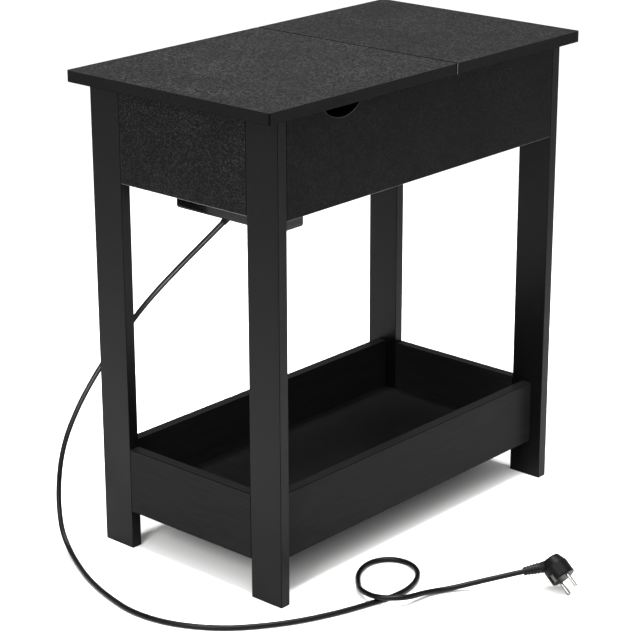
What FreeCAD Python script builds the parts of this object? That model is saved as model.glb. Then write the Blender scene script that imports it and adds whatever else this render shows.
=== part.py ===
import FreeCAD, Part

import math
import os

# Driving sizes of the table, in millimetres
SIZES = {
    # Top and boards
    "top_length": 600.0,
    "top_depth": 336.0,
    "table_height": 630.0,
    "board": 15.0,
    "edge_round": 0.8,
    "corner_round": 2.5,
    "lid_length": 339.0,
    "seam_gap": 2.0,
    # Legs, aprons and the rail under the seam
    "overhang_side": 26.0,
    "overhang_front": 12.0,
    "leg_width": 50.0,
    "apron_height": 123.0,
    "rail_height": 45.0,
    # Finger notch in the front apron
    "notch_inset": 139.0,
    "notch_width": 70.0,
    "notch_depth": 17.0,
    "notch_round": 0.6,
    # Tray
    "tray_lift": 52.0,
    "tray_height": 87.0,
    "tray_floor_board": 6.0,
    "tray_floor_lift": 10.0,
    # Compartment floor and the grooves that hold both floors
    "floor_board": 9.0,
    "floor_lift": 10.0,
    "groove_depth": 6.0,
    "groove_clear": 0.15,
    "board_clear": 0.2,
    # Dowels
    "dowel_diameter": 6.0,
    "dowel_depth": 16.0,
    "dowel_leg_depth": 9.0,
    "dowel_clear": 0.05,
    "dowel_end_clear": 0.5,
    "apron_dowel_inset": 30.0,
    "tray_dowel_inset": 24.0,
    "rail_dowel_inset": 13.0,
    # Hinges
    "hinge_length": 50.0,
    "hinge_inset": 70.0,
    "leaf_width": 12.0,
    "leaf_thick": 1.2,
    "leaf_gap": 0.4,
    "knuckle_diameter": 5.0,
    "knuckle_gap": 0.3,
    "hinge_standoff": 0.5,
    "hinge_pin_diameter": 2.6,
    "hinge_pin_clear": 0.05,
    "mortise_clear": 0.3,
    # Hinge screws
    "hinge_screw_diameter": 3.0,
    "hinge_screw_head": 5.4,
    "hinge_screw_length": 11.0,
    "hinge_screw_pitch": 30.0,
    "screw_clear": 0.05,
    "screw_end_clear": 0.5,
    # Corner blocks under the fixed top, and their screws
    "block_length": 32.0,
    "block_side": 16.0,
    "block_end_gap": 20.0,
    "block_screw_offset": 8.0,
    "block_screw_diameter": 3.5,
    "block_screw_head": 7.0,
    "block_screw_head_height": 2.0,
    "block_screw_length": 25.0,
    # Power unit
    "unit_inset": 124.0,
    "unit_width": 46.0,
    "unit_length": 176.0,
    "unit_height": 62.0,
    "unit_wall": 2.0,
    "unit_round": 4.0,
    "unit_clear": 0.3,
    "face_thick": 3.0,
    "face_side_margin": 7.0,
    "face_end_margin": 13.0,
    "face_round": 8.0,
    "face_edge_round": 1.0,
    "face_screw_diameter": 3.0,
    "face_screw_head": 6.0,
    "face_screw_head_height": 1.6,
    "face_screw_length": 11.0,
    # Socket inserts and their earth clips
    "socket_end_gap": 11.5,
    "socket_outer": 41.0,
    "socket_well": 38.6,
    "socket_well_depth": 17.5,
    "socket_base": 5.0,
    "socket_rim": 44.5,
    "socket_rim_thick": 1.2,
    "socket_hole": 5.4,
    "pin_pitch": 19.0,
    "insert_clear": 0.1,
    "clip_width": 5.0,
    "clip_thick": 1.2,
    "clip_height": 12.5,
    "clip_inset": 0.3,
    # Charging port module
    "port_module_width": 30.0,
    "port_module_length": 24.0,
    "port_module_depth": 18.0,
    "port_rim_margin": 2.0,
    "port_width": 13.2,
    "port_opening": 5.8,
    "port_depth": 12.0,
    "port_pitch": 11.0,
    "tongue_width": 11.0,
    "tongue_thick": 1.9,
    "tongue_height": 9.5,
    # Cord gland
    "gland_side": 14.0,
    "gland_back": 23.0,
    "gland_boss": 1.5,
    "gland_diameter": 12.0,
    "gland_sleeve_diameter": 10.0,
    "gland_tip_diameter": 8.6,
    "gland_length": 20.0,
    "gland_neck": 10.0,
    "gland_flange_thick": 2.0,
    "gland_clear": 0.1,
    # Cord and plug
    "cord_diameter": 7.0,
    "plug_diameter": 33.0,
    "plug_front": 10.0,
    "plug_rim_length": 18.0,
    "plug_back_diameter": 24.0,
    "plug_back_length": 12.0,
    "plug_edge_round": 2.0,
    "plug_neck_drop": 11.0,
    "plug_neck_diameter": 19.0,
    "plug_neck_reach": 17.4,
    "plug_pin_diameter": 4.8,
    "plug_pin_length": 19.0,
    "plug_pin_round": 1.2,
    "earth_groove_width": 8.0,
    "earth_groove_depth": 3.0,
    "earth_strip_width": 6.4,
    "earth_strip_thick": 1.0,
    "earth_strip_length": 10.0,
    "relief_diameter": 13.5,
    "relief_tip_diameter": 9.6,
    "relief_length": 22.0,
    "relief_rib_width": 2.0,
    "relief_rib_height": 0.9,
    # Overrun of every cut past the face it leaves through
    "overrun": 1.0,
}

# Places that follow from the driving sizes
PLACES = {
    "half_length": "dims.top_length / 2",
    "half_depth": "dims.top_depth / 2",
    "under_top": "dims.table_height - dims.board",
    "frame_x": "half_length - dims.overhang_side",
    "frame_y": "half_depth - dims.overhang_front",
    "inner_x": "frame_x - dims.board",
    "inner_y": "frame_y - dims.board",
    "side_y": "frame_y - dims.leg_width",
    "apron_low": "under_top - dims.apron_height",
    "tray_top": "dims.tray_lift + dims.tray_height",
    "tray_out_y": "frame_y - (dims.leg_width - dims.board) / 2",
    "tray_in_y": "tray_out_y - dims.board",
    "side_mid_x": "inner_x + dims.board / 2",
    "apron_mid_y": "inner_y + dims.board / 2",
    "tray_mid_y": "tray_in_y + dims.board / 2",
    "seam_x": "-half_length + dims.lid_length + dims.seam_gap / 2",
    "rail_low": "under_top - dims.rail_height",
    "floor_low": "apron_low + dims.floor_lift",
    "floor_top": "floor_low + dims.floor_board",
    "tray_floor_low": "dims.tray_lift + dims.tray_floor_lift",
    "notch_x": "-half_length + dims.notch_inset",
    "notch_radius": "(dims.notch_width ^ 2 / 4 + dims.notch_depth ^ 2) / (2 * dims.notch_depth)",
    "dowel_radius": "dims.dowel_diameter / 2",
    "dowel_hole_radius": "dowel_radius + dims.dowel_clear",
    "panel_hole": "dims.dowel_depth + dims.dowel_end_clear",
    "leg_hole": "dims.dowel_leg_depth + dims.dowel_end_clear",
    "hinge_y": "frame_y + dims.hinge_standoff + dims.knuckle_diameter / 2",
    "hinge_left_x": "-half_length + dims.hinge_inset",
    "hinge_right_x": "-half_length + dims.lid_length - dims.hinge_inset",
    "leaf_front_y": "frame_y - dims.leaf_width",
    "leaf_sink": "dims.leaf_gap / 2 + dims.leaf_thick",
    "knuckle_space": "dims.knuckle_diameter / 2 + dims.knuckle_gap",
    "knuckle_third": "dims.hinge_length / 3",
    "hinge_screw_y": "frame_y - dims.leaf_width / 2",
    "unit_x": "-half_length + dims.unit_inset",
    "unit_low": "floor_top - dims.unit_height",
    "face_top": "floor_top + dims.face_thick",
    "face_screw_y": "(dims.unit_length + dims.face_end_margin) / 2",
    "socket_seat": "face_top - dims.socket_well_depth",
    "socket_low": "socket_seat - dims.socket_base",
    "port_floor": "face_top + dims.socket_rim_thick - dims.port_depth",
    "gland_x": "unit_x + dims.gland_side",
    "socket_y": "(dims.unit_length - dims.socket_outer) / 2 - dims.unit_wall - dims.socket_end_gap",
    "block_left_x": "seam_x + (dims.board + dims.block_length) / 2 + dims.block_end_gap",
    "block_right_x": "inner_x - dims.block_end_gap - dims.block_length / 2",
}

# Route of the cord, chosen by hand: from the gland's tip, behind the back left leg, to the floor,
# round the left side, through one loop in front of the legs and on to the plug
CORD_ROUTE = (
    (-167.61, 35.43, 432.87),
    (-177.7, 57.8, 406.5),
    (-194.0, 83.0, 375.0),
    (-213.0, 115.0, 334.0),
    (-227.0, 138.0, 300.0),
    (-240.0, 158.0, 265.0),
    (-254.0, 180.0, 227.0),
    (-276.0, 200.0, 175.0),
    (-299.0, 208.0, 122.0),
    (-316.0, 201.0, 68.0),
    (-331.0, 181.0, 26.0),
    (-344.0, 151.0, 8.0),
    (-360.0, 117.0, 3.5),
    (-380.0, 75.0, 3.5),
    (-397.0, 20.0, 3.5),
    (-406.0, -33.0, 3.5),
    (-396.0, -88.0, 3.5),
    (-367.0, -138.0, 3.5),
    (-332.0, -170.0, 3.5),
    (-289.0, -198.0, 3.5),
    (-241.0, -219.0, 3.5),
    (-198.0, -232.0, 3.5),
    (-152.0, -244.0, 3.5),
    (-116.0, -239.0, 3.5),
    (-87.0, -221.0, 3.5),
    (-75.0, -194.0, 3.5),
    (-84.0, -168.0, 3.5),
    (-110.0, -156.0, 3.5),
    (-142.0, -166.0, 3.5),
    (-166.0, -187.0, 4.0),
    (-184.0, -206.0, 8.0),
    (-192.0, -238.0, 11.7),
    (-170.0, -266.0, 11.7),
    (-130.0, -268.0, 6.0),
    (-101.0, -281.0, 4.0),
    (-66.0, -312.0, 13.4),
    (-34.5, -345.0, 23.7),
)

# Share of the shorter run that each of the cord's bends takes up
BEND_SHARE = 0.45

# Shares of the strain relief's length at which its ribs stand
RIB_SHARES = (0.16, 0.34, 0.52, 0.7, 0.88)

# Lean of the gland's sleeve from the vertical, and its heading in plan, in degrees
GLAND_LEAN = 43.0
GLAND_HEADING = 114.3

# Lean of the plug's neck away from its pins, roll of the plug about the cord, and turn from the neck's way
# to the line through the pins, in degrees
NECK_LEAN = 22.0
PLUG_ROLL = -46.7
PIN_LINE_TURN = -125.0

ALONG_X = FreeCAD.Rotation(FreeCAD.Vector(0, 1, 0), 90)
ALONG_Y = FreeCAD.Rotation(FreeCAD.Vector(1, 0, 0), -90)
ALONG_Z = FreeCAD.Rotation()
AGAINST_Y = FreeCAD.Rotation(FreeCAD.Vector(1, 0, 0), 90)
AGAINST_Z = FreeCAD.Rotation(FreeCAD.Vector(1, 0, 0), 180)

doc = FreeCAD.newDocument("lift_top_end_table")


def sheet(name, cells):
    """Spreadsheet with one aliased cell for each entry."""
    made = doc.addObject("Spreadsheet::Sheet", name)
    for row, (alias, content) in enumerate(cells.items(), start=1):
        made.set(f"A{row}", alias)
        made.set(f"B{row}", content)
        made.setAlias(f"B{row}", alias)
    doc.recompute()
    return made


dims = sheet("dims", {alias: str(size) for alias, size in SIZES.items()})
at = sheet("at", {alias: "=" + formula for alias, formula in PLACES.items()})

nodes = []


def bind(thing, **formulas):
    for name, formula in formulas.items():
        thing.setExpression(name, formula)


def put(thing, place, turn=ALONG_Z):
    """Place a thing at three formulas, turned as given."""
    thing.Placement = FreeCAD.Placement(FreeCAD.Vector(), turn)
    for axis, formula in zip("xyz", place):
        thing.setExpression(f"Placement.Base.{axis}", formula)


def keep(thing, label):
    """List a finished piece under its own name."""
    thing.Label = label
    nodes.append(thing)
    return thing


def body(label):
    return keep(doc.addObject("PartDesign::Body", label), label)


def box_in(owner, kind, low, size):
    """Box added to a body or cut from it, from its low corner and its three sizes."""
    made = owner.newObject(f"PartDesign::{kind}Box", f"{owner.Name}_{kind.lower()}_box")
    bind(made, Length=size[0], Width=size[1], Height=size[2])
    put(made, low)
    return made


def rod_in(owner, kind, place, radius, length, turn=ALONG_Z):
    """Round rod added to a body or cut from it."""
    made = owner.newObject(f"PartDesign::{kind}Cylinder", f"{owner.Name}_{kind.lower()}_rod")
    bind(made, Radius=radius, Height=length)
    put(made, place, turn)
    return made


def cone_in(owner, kind, place, wide, narrow, length, turn=ALONG_Z):
    """Cone added to a body or cut from it, wide end first."""
    made = owner.newObject(f"PartDesign::{kind}Cone", f"{owner.Name}_{kind.lower()}_cone")
    bind(made, Radius1=wide, Radius2=narrow, Height=length)
    put(made, place, turn)
    return made


def round_edges(owner, base, edges, radius):
    """Round the named edges of a body's feature."""
    doc.recompute()
    made = owner.newObject("PartDesign::Fillet", f"{owner.Name}_round")
    made.Base = (base, edges)
    bind(made, Radius=radius)
    return made


def edges_where(feature, test):
    """Names of the edges of a feature that pass a test."""
    doc.recompute()
    return [f"Edge{n}" for n, edge in enumerate(feature.Shape.Edges, start=1) if test(edge)]


def upright(edge):
    return edge.BoundBox.ZLength > dims.board / 2


def board(label, low, size):
    """Flat board with softly rounded edges."""
    made = body(label)
    block = box_in(made, "Additive", low, size)
    round_edges(made, block, [f"Edge{n}" for n in range(1, 13)], "dims.edge_round")
    return made


def top_board(label, low, size):
    """Part of the top: its corners at the table's end are rounded more than its other edges."""
    made = body(label)
    block = box_in(made, "Additive", low, size)
    end = at.half_length - dims.edge_round
    outer = edges_where(block, lambda edge: upright(edge) and abs(edge.CenterOfMass.x) > end)
    cornered = round_edges(made, block, outer, "dims.corner_round")
    rest = edges_where(cornered, lambda edge: not upright(edge) or abs(edge.CenterOfMass.x) < at.half_length / 2)
    round_edges(made, cornered, rest, "dims.edge_round")
    return made


def rod(name, place, radius, length, turn=ALONG_Z):
    made = doc.addObject("Part::Cylinder", name)
    bind(made, Radius=radius, Height=length)
    put(made, place, turn)
    return made


def cone(name, place, wide, narrow, length, turn=ALONG_Z):
    made = doc.addObject("Part::Cone", name)
    bind(made, Radius1=wide, Radius2=narrow, Height=length)
    put(made, place, turn)
    return made


def fused(name, pieces):
    made = doc.addObject("Part::MultiFuse", name)
    made.Shapes = pieces
    return made


def group(label, pieces):
    """Several separate solids of one kind under one name."""
    made = doc.addObject("Part::Compound", label)
    made.Links = pieces
    return keep(made, label)


def span(side, face, behind, ahead):
    """Low end and length of a rod that crosses a face on the given side of the middle."""
    low = f"{face} - {behind}" if side > 0 else f"-{face} - {ahead}"
    return low, f"{behind} + {ahead}"


def dowel_x(pegs, panel, leg, side, face, y, z):
    """Dowel along X between a panel's end and the face it meets, with both its holes."""
    low, length = span(side, face, "dims.dowel_depth", "dims.dowel_leg_depth")
    pegs.append(rod("dowel", (low, y, z), "at.dowel_radius", length, ALONG_X))
    low, length = span(side, face, "at.panel_hole", "0")
    rod_in(panel, "Subtractive", (low, y, z), "at.dowel_hole_radius", length, ALONG_X)
    low, length = span(side, face, "0", "at.leg_hole")
    rod_in(leg, "Subtractive", (low, y, z), "at.dowel_hole_radius", length, ALONG_X)


def dowel_y(pegs, panel, leg, side, face, x, z, depth, hole):
    """Dowel along Y between a panel's end and the face it meets, with both its holes."""
    low, length = span(side, face, "dims.dowel_depth", depth)
    pegs.append(rod("dowel", (x, low, z), "at.dowel_radius", length, ALONG_Y))
    low, length = span(side, face, "at.panel_hole", "0")
    rod_in(panel, "Subtractive", (x, low, z), "at.dowel_hole_radius", length, ALONG_Y)
    low, length = span(side, face, "0", hole)
    rod_in(leg, "Subtractive", (x, low, z), "at.dowel_hole_radius", length, ALONG_Y)


def screw(place, size, turn):
    """Countersunk screw whose head starts at the place and whose tip lies along the turn."""
    head = cone("screw_head", place, f"dims.{size}_head / 2", f"dims.{size}_diameter / 2", SCREW_HEADS[size], turn)
    shank = rod("screw_shank", place, f"dims.{size}_diameter / 2", f"dims.{size}_length", turn)
    return fused("screw", [head, shank])


def screw_hole(owner, place, size, turn):
    """Countersunk hole for a screw, clear of its head and shank and past its tip."""
    wide = f"dims.{size}_head / 2 + dims.screw_clear"
    narrow = f"dims.{size}_diameter / 2 + dims.screw_clear"
    cone_in(owner, "Subtractive", place, wide, narrow, SCREW_HEADS[size], turn)
    screw_pilot(owner, place, size, turn)


def screw_pilot(owner, place, size, turn):
    """Straight hole for a screw's shank."""
    narrow = f"dims.{size}_diameter / 2 + dims.screw_clear"
    deep = f"dims.{size}_length + dims.screw_end_clear"
    rod_in(owner, "Subtractive", place, narrow, deep, turn)


SCREW_HEADS = {
    "hinge_screw": "dims.leaf_thick",
    "block_screw": "dims.block_screw_head_height",
    "face_screw": "dims.face_screw_head_height",
}

# Top: lid and fixed part, with their outer corners rounded more than their other edges
lid = top_board(
    "lid",
    ("-at.half_length", "-at.half_depth", "at.under_top"),
    ("dims.lid_length", "dims.top_depth", "dims.board"),
)
fixed_top = top_board(
    "fixed_top",
    ("-at.half_length + dims.lid_length + dims.seam_gap", "-at.half_depth", "at.under_top"),
    ("dims.top_length - dims.lid_length - dims.seam_gap", "dims.top_depth", "dims.board"),
)

# Legs
legs = {}
for end, side_x in (("left", -1), ("right", 1)):
    for row, side_y in (("front", -1), ("back", 1)):
        low_x = "at.inner_x" if side_x > 0 else "-at.frame_x"
        low_y = "at.side_y" if side_y > 0 else "-at.frame_y"
        legs[side_x, side_y] = board(
            f"leg_{row}_{end}",
            (low_x, low_y, "0"),
            ("dims.board", "dims.leg_width", "at.under_top"),
        )

# Aprons and tray panels
apron_size = ("2 * at.inner_x", "dims.board", "dims.apron_height")
apron_front = board("apron_front", ("-at.inner_x", "-at.frame_y", "at.apron_low"), apron_size)
apron_back = board("apron_back", ("-at.inner_x", "at.inner_y", "at.apron_low"), apron_size)
tray_size = ("2 * at.inner_x", "dims.board", "dims.tray_height")
tray_front = board("tray_front", ("-at.inner_x", "-at.tray_out_y", "dims.tray_lift"), tray_size)
tray_back = board("tray_back", ("-at.inner_x", "at.tray_in_y", "dims.tray_lift"), tray_size)
side_panels = {}
for end, side_x in (("left", -1), ("right", 1)):
    low_x = "at.inner_x" if side_x > 0 else "-at.frame_x"
    side_panels["apron", side_x] = board(
        f"apron_{end}",
        (low_x, "-at.side_y", "at.apron_low"),
        ("dims.board", "2 * at.side_y", "dims.apron_height"),
    )
    side_panels["tray", side_x] = board(
        f"tray_{end}",
        (low_x, "-at.side_y", "dims.tray_lift"),
        ("dims.board", "2 * at.side_y", "dims.tray_height"),
    )

# Rail under the seam
seam_rail = board(
    "seam_rail",
    ("at.seam_x - dims.board / 2", "-at.inner_y", "at.rail_low"),
    ("dims.board", "2 * at.inner_y", "dims.rail_height"),
)

# Floors of the compartment and the tray, each held in a groove at its front and back
compartment_floor = body("compartment_floor")
box_in(
    compartment_floor,
    "Additive",
    ("-at.inner_x + dims.board_clear", "-at.inner_y - dims.groove_depth + dims.board_clear", "at.floor_low"),
    ("2 * (at.inner_x - dims.board_clear)",
     "2 * (at.inner_y + dims.groove_depth - dims.board_clear)",
     "dims.floor_board"),
)
tray_floor = body("tray_floor")
box_in(
    tray_floor,
    "Additive",
    ("-at.inner_x + dims.board_clear",
     "-at.tray_in_y - dims.groove_depth + dims.board_clear",
     "at.tray_floor_low"),
    ("2 * (at.inner_x - dims.board_clear)",
     "2 * (at.tray_in_y + dims.groove_depth - dims.board_clear)",
     "dims.tray_floor_board"),
)
grooves = (
    (apron_front, "-at.inner_y - dims.groove_depth", "at.floor_low", "dims.floor_board"),
    (apron_back, "at.inner_y - dims.overrun", "at.floor_low", "dims.floor_board"),
    (tray_front, "-at.tray_in_y - dims.groove_depth", "at.tray_floor_low", "dims.tray_floor_board"),
    (tray_back, "at.tray_in_y - dims.overrun", "at.tray_floor_low", "dims.tray_floor_board"),
)
for panel, low_y, low_z, thick in grooves:
    box_in(
        panel,
        "Subtractive",
        ("-at.inner_x - dims.overrun", low_y, f"{low_z} - dims.groove_clear"),
        ("2 * (at.inner_x + dims.overrun)", "dims.groove_depth + dims.overrun", f"{thick} + 2 * dims.groove_clear"),
    )

# Finger notch in the front apron's top edge, its lip rounded
notch = rod_in(
    apron_front,
    "Subtractive",
    ("at.notch_x", "-at.frame_y - dims.overrun", "at.under_top - dims.notch_depth + at.notch_radius"),
    "at.notch_radius",
    "dims.board + 2 * dims.overrun",
    ALONG_Y,
)
notch_lip = edges_where(
    notch,
    lambda edge: edge.BoundBox.YMax < -at.apron_mid_y and edge.BoundBox.XLength > dims.notch_width / 2
    and edge.BoundBox.ZLength > dims.notch_depth / 2,
)
round_edges(apron_front, notch, notch_lip, "dims.notch_round")

# Dowels of the frame and the tray
frame_pegs = []
tray_pegs = []
apron_heights = ("at.apron_low + dims.apron_dowel_inset", "at.under_top - dims.apron_dowel_inset")
tray_heights = ("dims.tray_lift + dims.tray_dowel_inset", "at.tray_top - dims.tray_dowel_inset")
for (side_x, side_y), leg in legs.items():
    apron = apron_back if side_y > 0 else apron_front
    tray = tray_back if side_y > 0 else tray_front
    apron_y = "at.apron_mid_y" if side_y > 0 else "-at.apron_mid_y"
    tray_y = "at.tray_mid_y" if side_y > 0 else "-at.tray_mid_y"
    side_x_mid = "at.side_mid_x" if side_x > 0 else "-at.side_mid_x"
    edge_joint = ("at.side_y", side_x_mid)
    for height in apron_heights:
        dowel_x(frame_pegs, apron, leg, side_x, "at.inner_x", apron_y, height)
        dowel_y(frame_pegs, side_panels["apron", side_x], leg, side_y, *edge_joint, height,
                "dims.dowel_depth", "at.panel_hole")
    for height in tray_heights:
        dowel_x(tray_pegs, tray, leg, side_x, "at.inner_x", tray_y, height)
        dowel_y(tray_pegs, side_panels["tray", side_x], leg, side_y, *edge_joint, height,
                "dims.dowel_depth", "at.panel_hole")
for side_y, apron in ((-1, apron_front), (1, apron_back)):
    for height in ("at.rail_low + dims.rail_dowel_inset", "at.under_top - dims.rail_dowel_inset"):
        dowel_y(frame_pegs, seam_rail, apron, side_y, "at.inner_y", "at.seam_x", height,
                "dims.dowel_leg_depth", "at.leg_hole")
group("frame_dowels", frame_pegs)
group("tray_dowels", tray_pegs)


def leaf(label, hinge_x, fixed):
    """Hinge leaf: a plate let into its board, with its own knuckles on the hinge line."""
    made = body(label)
    low_z = "at.under_top - at.leaf_sink" if fixed else "at.under_top + dims.leaf_gap / 2"
    start = f"{hinge_x} - dims.hinge_length / 2"
    box_in(
        made,
        "Additive",
        (start, "at.leaf_front_y", low_z),
        ("dims.hinge_length", "at.hinge_y - at.leaf_front_y", "dims.leaf_thick"),
    )
    outer = ((start, "at.knuckle_third"), (f"{hinge_x} + at.knuckle_third / 2", "at.knuckle_third"))
    middle = ((f"{hinge_x} - at.knuckle_third / 2 + dims.knuckle_gap",
               "at.knuckle_third - 2 * dims.knuckle_gap"),)
    mine = outer if fixed else middle
    middle_space = (f"{hinge_x} - at.knuckle_third / 2", "at.knuckle_third")
    other_spaces = (middle_space,) if fixed else (
        (f"{start} - dims.overrun", "at.knuckle_third + dims.knuckle_gap + dims.overrun"),
        (f"{hinge_x} + at.knuckle_third / 2 - dims.knuckle_gap",
         "at.knuckle_third + dims.knuckle_gap + dims.overrun"),
    )
    for low_x, length in other_spaces:
        box_in(
            made,
            "Subtractive",
            (low_x, "at.hinge_y - at.knuckle_space", f"{low_z} - dims.overrun"),
            (length, "at.knuckle_space + dims.overrun", "dims.leaf_thick + 2 * dims.overrun"),
        )
    for low_x, length in mine:
        rod_in(made, "Additive", (low_x, "at.hinge_y", "at.under_top"), "dims.knuckle_diameter / 2", length, ALONG_X)
    rod_in(
        made,
        "Subtractive",
        (f"{start} - dims.overrun", "at.hinge_y", "at.under_top"),
        "dims.hinge_pin_diameter / 2 + dims.hinge_pin_clear",
        "dims.hinge_length + 2 * dims.overrun",
        ALONG_X,
    )
    return made


# Hinges, let into the back apron's top edge and the lid's underside
fixed_screws = []
lid_screws = []
for end, hinge_x in (("left", "at.hinge_left_x"), ("right", "at.hinge_right_x")):
    fixed_leaf = leaf(f"hinge_{end}_fixed_leaf", hinge_x, True)
    lid_leaf = leaf(f"hinge_{end}_lid_leaf", hinge_x, False)
    hinge_pin = rod(
        f"hinge_{end}_pin",
        (f"{hinge_x} - dims.hinge_length / 2", "at.hinge_y", "at.under_top"),
        "dims.hinge_pin_diameter / 2",
        "dims.hinge_length",
        ALONG_X,
    )
    keep(hinge_pin, f"hinge_{end}_pin")
    mortise_x = f"{hinge_x} - dims.hinge_length / 2 - dims.mortise_clear"
    mortise_length = "dims.hinge_length + 2 * dims.mortise_clear"
    mortise_y = "at.leaf_front_y - dims.mortise_clear"
    box_in(
        apron_back,
        "Subtractive",
        (mortise_x, mortise_y, "at.under_top - at.leaf_sink"),
        (mortise_length, "dims.leaf_width + dims.mortise_clear + dims.overrun", "at.leaf_sink + dims.overrun"),
    )
    box_in(
        lid,
        "Subtractive",
        (mortise_x, mortise_y, "at.under_top - dims.overrun"),
        (mortise_length, "at.hinge_y - at.leaf_front_y + dims.mortise_clear", "at.leaf_sink + dims.overrun"),
    )
    box_in(
        lid,
        "Subtractive",
        (mortise_x, "at.hinge_y - at.knuckle_space", "at.under_top - dims.overrun"),
        (mortise_length, "2 * at.knuckle_space", "at.knuckle_space + dims.overrun"),
    )
    for way in ("-", "+"):
        screw_x = f"{hinge_x} {way} dims.hinge_screw_pitch / 2"
        down = (screw_x, "at.hinge_screw_y", "at.under_top - dims.leaf_gap / 2")
        screw_hole(fixed_leaf, down, "hinge_screw", AGAINST_Z)
        screw_pilot(apron_back, down, "hinge_screw", AGAINST_Z)
        fixed_screws.append(screw(down, "hinge_screw", AGAINST_Z))
        upward = (screw_x, "at.hinge_screw_y", "at.under_top + dims.leaf_gap / 2")
        screw_hole(lid_leaf, upward, "hinge_screw", ALONG_Z)
        screw_pilot(lid, upward, "hinge_screw", ALONG_Z)
        lid_screws.append(screw(upward, "hinge_screw", ALONG_Z))
group("hinge_fixed_screws", fixed_screws)
group("hinge_lid_screws", lid_screws)

# Corner blocks that hold the fixed top to the front and back aprons
blocks = []
block_screws = []
for row, side_y, apron in (("front", -1, apron_front), ("back", 1, apron_back)):
    for end in ("left", "right"):
        centre_x = f"at.block_{end}_x"
        block = doc.addObject("PartDesign::Body", f"block_{row}_{end}")
        low_y = "at.inner_y - dims.block_side" if side_y > 0 else "-at.inner_y"
        box_in(
            block,
            "Additive",
            (f"{centre_x} - dims.block_length / 2", low_y, "at.under_top - dims.block_side"),
            ("dims.block_length", "dims.block_side", "dims.block_side"),
        )
        mid_y = f"{'' if side_y > 0 else '-'}(at.inner_y - dims.block_side / 2)"
        upward = (f"{centre_x} - dims.block_screw_offset", mid_y, "at.under_top - dims.block_side")
        screw_hole(block, upward, "block_screw", ALONG_Z)
        screw_pilot(fixed_top, upward, "block_screw", ALONG_Z)
        block_screws.append(screw(upward, "block_screw", ALONG_Z))
        head_y = f"{'' if side_y > 0 else '-'}(at.inner_y - dims.block_side)"
        outward = (f"{centre_x} + dims.block_screw_offset", head_y, "at.under_top - dims.block_side / 2")
        turn = ALONG_Y if side_y > 0 else AGAINST_Y
        screw_hole(block, outward, "block_screw", turn)
        screw_pilot(apron, outward, "block_screw", turn)
        block_screws.append(screw(outward, "block_screw", turn))
        blocks.append(block)
group("top_blocks", blocks)
group("block_screws", block_screws)

# Power unit: the opening in the compartment floor, the housing and the face plate
box_in(
    compartment_floor,
    "Subtractive",
    ("at.unit_x - dims.unit_width / 2 - dims.unit_clear",
     "-dims.unit_length / 2 - dims.unit_clear",
     "at.floor_low - dims.overrun"),
    ("dims.unit_width + 2 * dims.unit_clear",
     "dims.unit_length + 2 * dims.unit_clear",
     "dims.floor_board + 2 * dims.overrun"),
)
housing = body("power_housing")
housing_block = box_in(
    housing,
    "Additive",
    ("at.unit_x - dims.unit_width / 2", "-dims.unit_length / 2", "at.unit_low"),
    ("dims.unit_width", "dims.unit_length", "dims.unit_height"),
)
open_rim = edges_where(housing_block, lambda edge: edge.BoundBox.ZMin < at.floor_top - dims.overrun)
round_edges(housing, housing_block, open_rim, "dims.unit_round")
box_in(
    housing,
    "Subtractive",
    ("at.unit_x - dims.unit_width / 2 + dims.unit_wall",
     "-dims.unit_length / 2 + dims.unit_wall",
     "at.unit_low + dims.unit_wall"),
    ("dims.unit_width - 2 * dims.unit_wall",
     "dims.unit_length - 2 * dims.unit_wall",
     "dims.unit_height - dims.unit_wall + dims.overrun"),
)
face = body("power_face")
face_block = box_in(
    face,
    "Additive",
    ("at.unit_x - dims.unit_width / 2 - dims.face_side_margin",
     "-dims.unit_length / 2 - dims.face_end_margin",
     "at.floor_top"),
    ("dims.unit_width + 2 * dims.face_side_margin",
     "dims.unit_length + 2 * dims.face_end_margin",
     "dims.face_thick"),
)
face_ends = edges_where(face_block, lambda edge: edge.BoundBox.ZLength > dims.face_thick / 2)
face_corners = round_edges(face, face_block, face_ends, "dims.face_round")
upper = edges_where(face_corners, lambda edge: edge.BoundBox.ZMin > at.floor_top + dims.face_thick / 2)
round_edges(face, face_corners, upper, "dims.face_edge_round")
face_screws = []
for way in ("-", "+"):
    down = ("at.unit_x", f"0 {way} at.face_screw_y", "at.face_top")
    screw_hole(face, down, "face_screw", AGAINST_Z)
    screw_pilot(compartment_floor, down, "face_screw", AGAINST_Z)
    face_screws.append(screw(down, "face_screw", AGAINST_Z))
group("power_screws", face_screws)

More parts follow.
